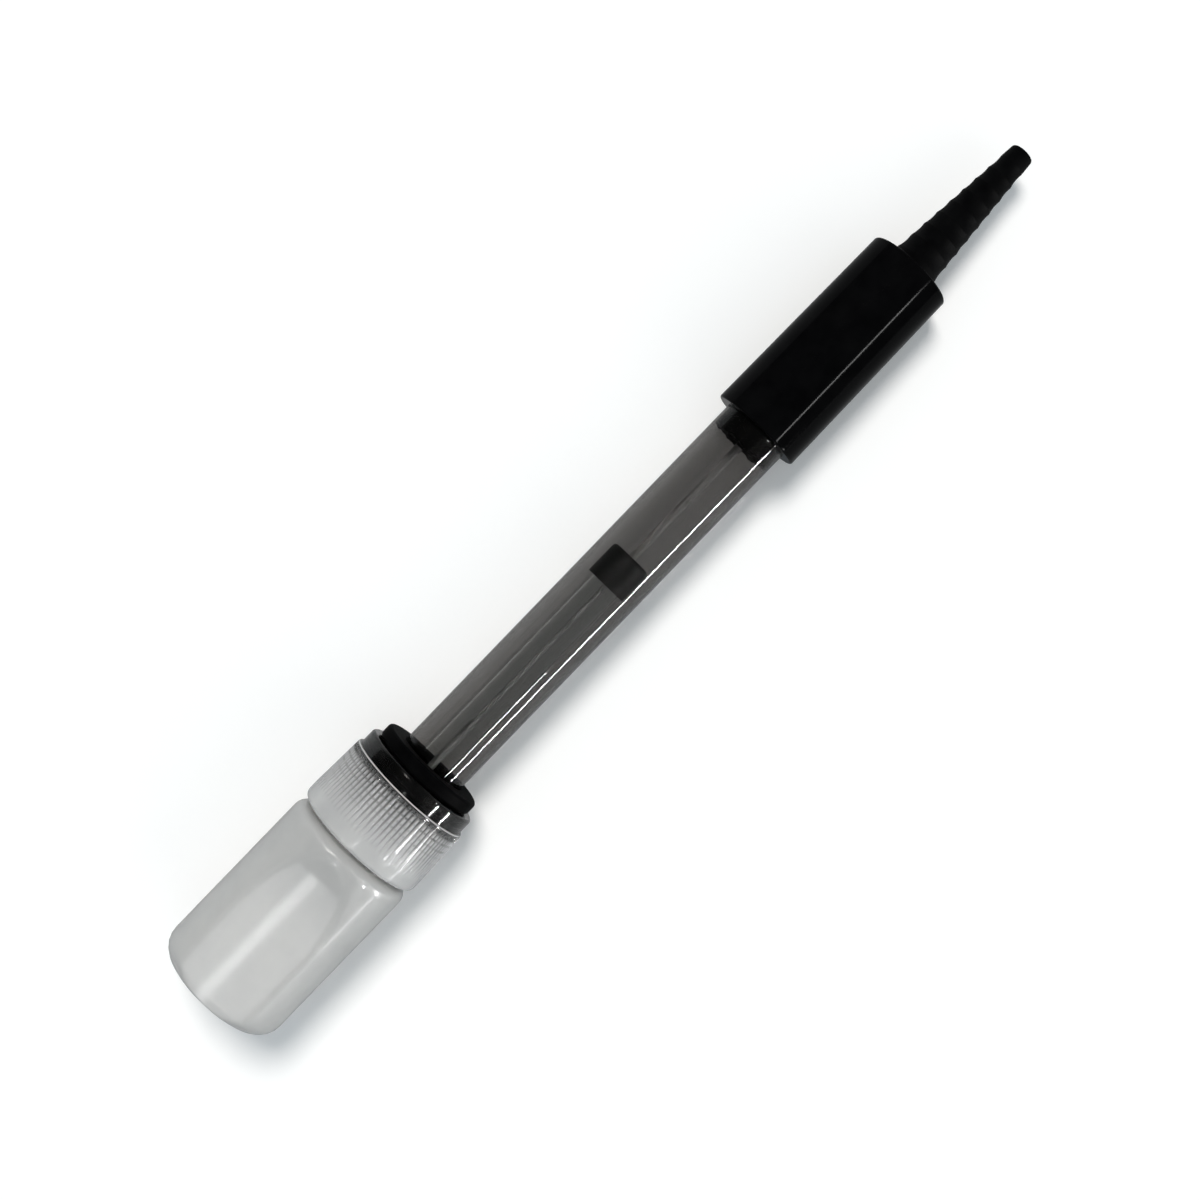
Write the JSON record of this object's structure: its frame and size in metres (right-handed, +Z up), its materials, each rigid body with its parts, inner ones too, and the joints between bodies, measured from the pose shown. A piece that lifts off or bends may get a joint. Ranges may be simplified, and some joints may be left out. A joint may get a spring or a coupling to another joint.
{
  "type": "ph electrode",
  "caption": "Combination pH electrode: smoky clear body tube, glossy black head with a ringed strain relief, and a screw-capped storage bottle with a rubber seal on its tip.",
  "frame": {"origin": "on the surface it lies on, midway along its length, under the centre line", "axes": "+X along its length towards the strain relief, level with the surface; +Z up; +Y across"},
  "size_m": [0.189, 0.0234, 0.0235],
  "materials": {
    "body_tube": "smoky clear, polished",
    "tip_plug": "cast resin",
    "junction_pin": "porous",
    "glass": "clear",
    "silver_wire": "dull silver",
    "stopper_rubber": "matte",
    "lead_insulation": "satin",
    "potting": "cast resin",
    "head_plastic": "polished",
    "boot_rubber": "matte",
    "seal_rubber": "satin",
    "cap_plastic": "natural, translucent",
    "bottle_plastic": "natural, translucent"
  },
  "bodies": {
    "electrode": {"body_tube": "body_tube", "tip_plug": "tip_plug", "junction_pin": "junction_pin", "glass_cell": "glass", "measuring_wire": "silver_wire", "reference_wire": "silver_wire", "stem_stopper": "stopper_rubber", "signal_lead": "lead_insulation", "potting": "potting", "head_shell": "head_plastic", "strain_relief": "boot_rubber"},
    "seal": {"seal": "seal_rubber"},
    "cap": {"bottle_cap": "cap_plastic"},
    "bottle": {"storage_bottle": "bottle_plastic"}
  },
  "joints": [
    {"name": "seal_slide", "type": "slide", "parent": "electrode", "child": "seal", "axis": [0.9995, 0, -0.0322], "range_m": [-0.055, 0.016]},
    {"name": "cap_turn", "type": "hinge", "parent": "seal", "child": "cap", "pos_m": [-0.05297, 0, 0.01153], "axis": [0.9995, 0, -0.0322], "range_deg": [0, 1440]},
    {"name": "bottle_unscrew", "type": "slide", "parent": "seal", "child": "bottle", "axis": [-0.9995, 0, 0.0322], "range_m": [0, 0.0101]}
  ],
  "couplings": [
    {"joint": "bottle_unscrew", "follows": "cap_turn", "m_per_rad": 0.00039789}
  ]
}
